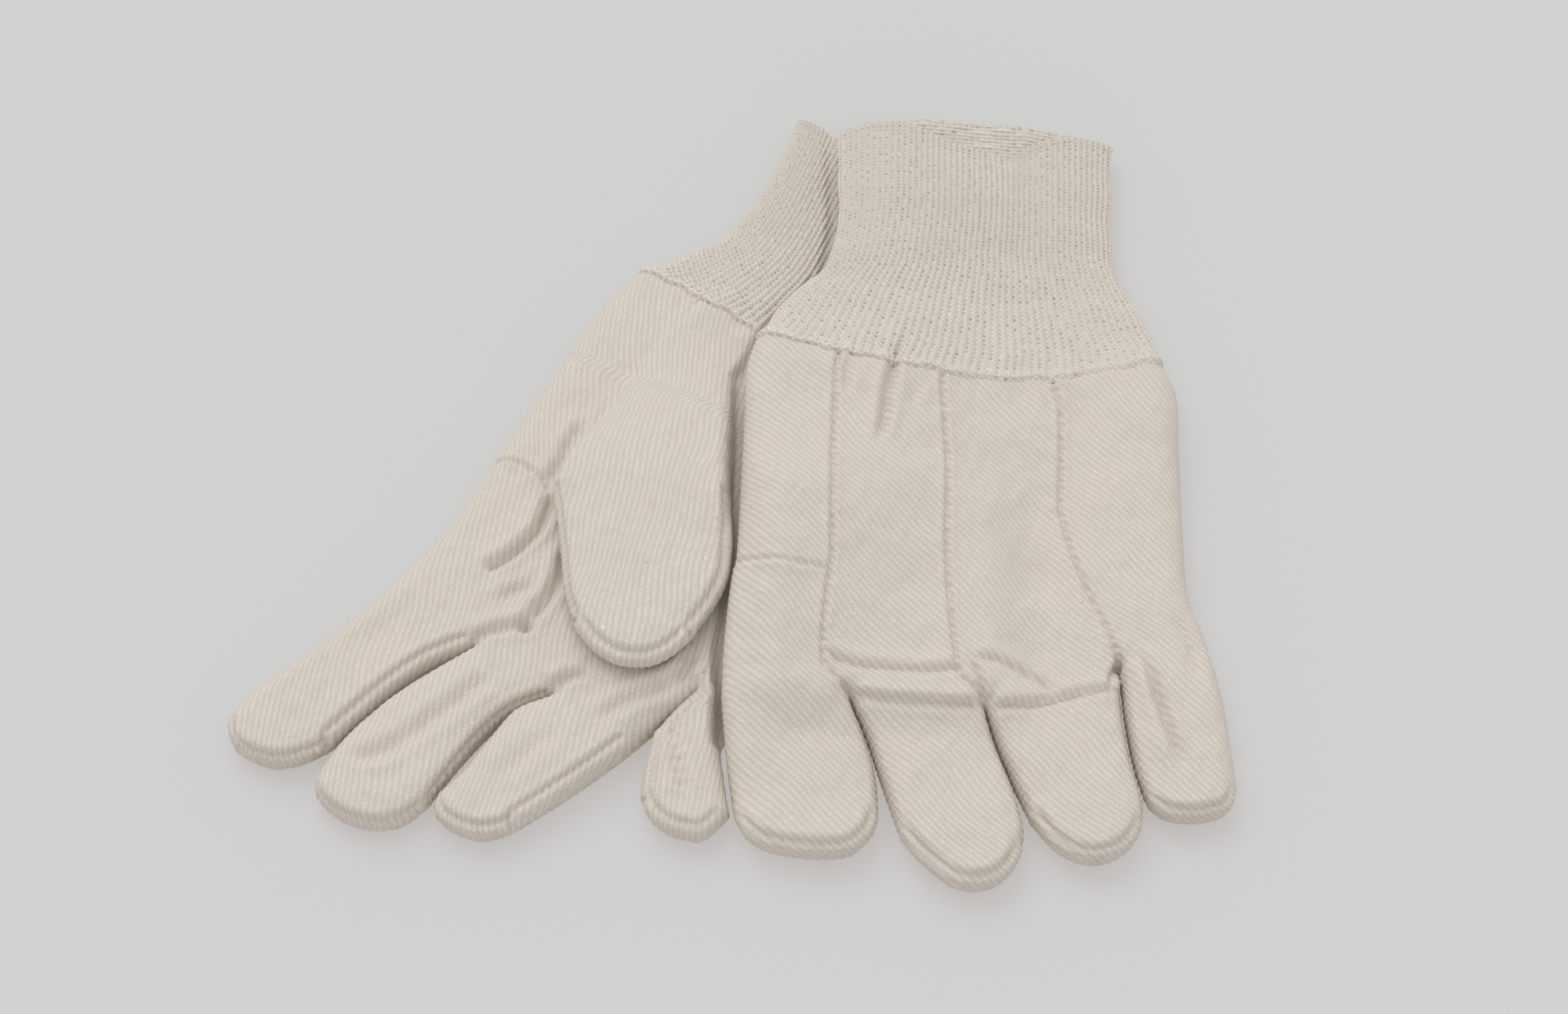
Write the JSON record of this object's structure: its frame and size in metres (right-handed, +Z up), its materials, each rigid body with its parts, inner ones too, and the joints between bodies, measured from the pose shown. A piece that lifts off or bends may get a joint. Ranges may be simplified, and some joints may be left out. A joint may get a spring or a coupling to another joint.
{
  "type": "work gloves",
  "caption": "Pair of sewn cotton work gloves with knit wrists, one lying palm up and the other back up, partly on top of it.",
  "frame": {"origin": "on the surface that the pair lies on, under the middle of the pair's bounding box", "axes": "+X towards the left glove's little finger, +Y towards the cuffs, so that the fingers point to -Y, +Z up"},
  "size_m": [0.281, 0.2641, 0.0291],
  "materials": {
    "canvas": "matte unbleached cotton twill with a visible diagonal line, brushed inside",
    "rib_knit": "matte unbleached cotton rib knit",
    "thread": "matte cotton overlock thread"
  },
  "bodies": {
    "right_hand": {"right_heel_panel": "canvas", "right_palm_panel": "canvas", "right_back_middle_strip": "canvas", "right_back_ring_strip": "canvas", "right_back_little_strip": "canvas", "right_back_seam_1": "thread", "right_back_seam_2": "thread", "right_back_seam_3": "thread", "right_cross_seam": "thread", "right_wrist_seam": "thread", "right_little_finger_base": "canvas", "right_knit_cuff": "rib_knit"},
    "right_index": {"right_index_finger": "canvas", "right_index_seam": "thread"},
    "right_middle": {"right_middle_front": "canvas", "right_middle_back": "canvas", "right_middle_seam": "thread"},
    "right_ring": {"right_ring_front": "canvas", "right_ring_back": "canvas", "right_ring_seam": "thread"},
    "right_little": {"right_little_finger": "canvas", "right_little_seam": "thread"},
    "right_thumb": {"right_thumb_front": "canvas", "right_thumb_back": "canvas", "right_thumb_seam": "thread"},
    "left_hand": {"left_heel_panel": "canvas", "left_palm_panel": "canvas", "left_back_middle_strip": "canvas", "left_back_ring_strip": "canvas", "left_back_little_strip": "canvas", "left_back_seam_1": "thread", "left_back_seam_2": "thread", "left_back_seam_3": "thread", "left_cross_seam": "thread", "left_wrist_seam": "thread", "left_thumb_front": "canvas", "left_thumb_back": "canvas", "left_thumb_seam": "thread"},
    "left_index": {"left_index_finger": "canvas", "left_index_seam": "thread"},
    "left_middle": {"left_middle_front": "canvas", "left_middle_back": "canvas", "left_middle_seam": "thread"},
    "left_ring": {"left_ring_front": "canvas", "left_ring_back": "canvas", "left_ring_seam": "thread"},
    "left_little": {"left_little_finger": "canvas", "left_little_seam": "thread"},
    "left_cuff": {"left_knit_cuff": "rib_knit"}
  },
  "joints": [
    {"name": "right_index_bend", "type": "hinge", "parent": "right_hand", "child": "right_index", "pos_m": [-0.0833, -0.045, 0.0141], "axis": [-0.6402, 0.7682, 0], "range_deg": [0, 90]},
    {"name": "right_middle_bend", "type": "hinge", "parent": "right_hand", "child": "right_middle", "pos_m": [-0.06205, -0.06725, 0.0141], "axis": [-0.7071, 0.7071, 0], "range_deg": [0, 90]},
    {"name": "right_ring_bend", "type": "hinge", "parent": "right_hand", "child": "right_ring", "pos_m": [-0.03655, -0.0805, 0.0141], "axis": [-0.7363, 0.6766, 0], "range_deg": [0, 90]},
    {"name": "right_little_bend", "type": "hinge", "parent": "right_hand", "child": "right_little", "pos_m": [-0.01125, -0.0863, 0.0141], "axis": [-1, 0, 0], "range_deg": [0, 90]},
    {"name": "right_thumb_bend", "type": "hinge", "parent": "right_hand", "child": "right_thumb", "pos_m": [-0.0253, -0.0106, 0.0276], "axis": [-0.9993, 0.0384, 0], "range_deg": [0, 90]},
    {"name": "left_glove_lift", "type": "slide", "parent": "right_hand", "child": "left_hand", "axis": [0, 0, 1], "range_m": [0, 0.1]},
    {"name": "left_index_bend", "type": "hinge", "parent": "left_hand", "child": "left_index", "pos_m": [0.01545, -0.07375, 0.0239], "axis": [-0.9875, -0.1574, 0], "range_deg": [0, 90]},
    {"name": "left_middle_bend", "type": "hinge", "parent": "left_hand", "child": "left_middle", "pos_m": [0.0532, -0.07675, 0.0205], "axis": [-0.9879, -0.1552, 0], "range_deg": [0, 90]},
    {"name": "left_ring_bend", "type": "hinge", "parent": "left_hand", "child": "left_ring", "pos_m": [0.08995, -0.07105, 0.0179], "axis": [-0.9877, -0.1563, 0], "range_deg": [0, 90]},
    {"name": "left_little_bend", "type": "hinge", "parent": "left_hand", "child": "left_little", "pos_m": [0.1222, -0.06425, 0.0149], "axis": [-0.9854, -0.1705, 0], "range_deg": [0, 90]},
    {"name": "left_cuff_fold", "type": "hinge", "parent": "left_hand", "child": "left_cuff", "pos_m": [0.06855, 0.0414, 0.02235], "axis": [0.9941, -0.0269, -0.105], "range_deg": [0, 90]}
  ]
}
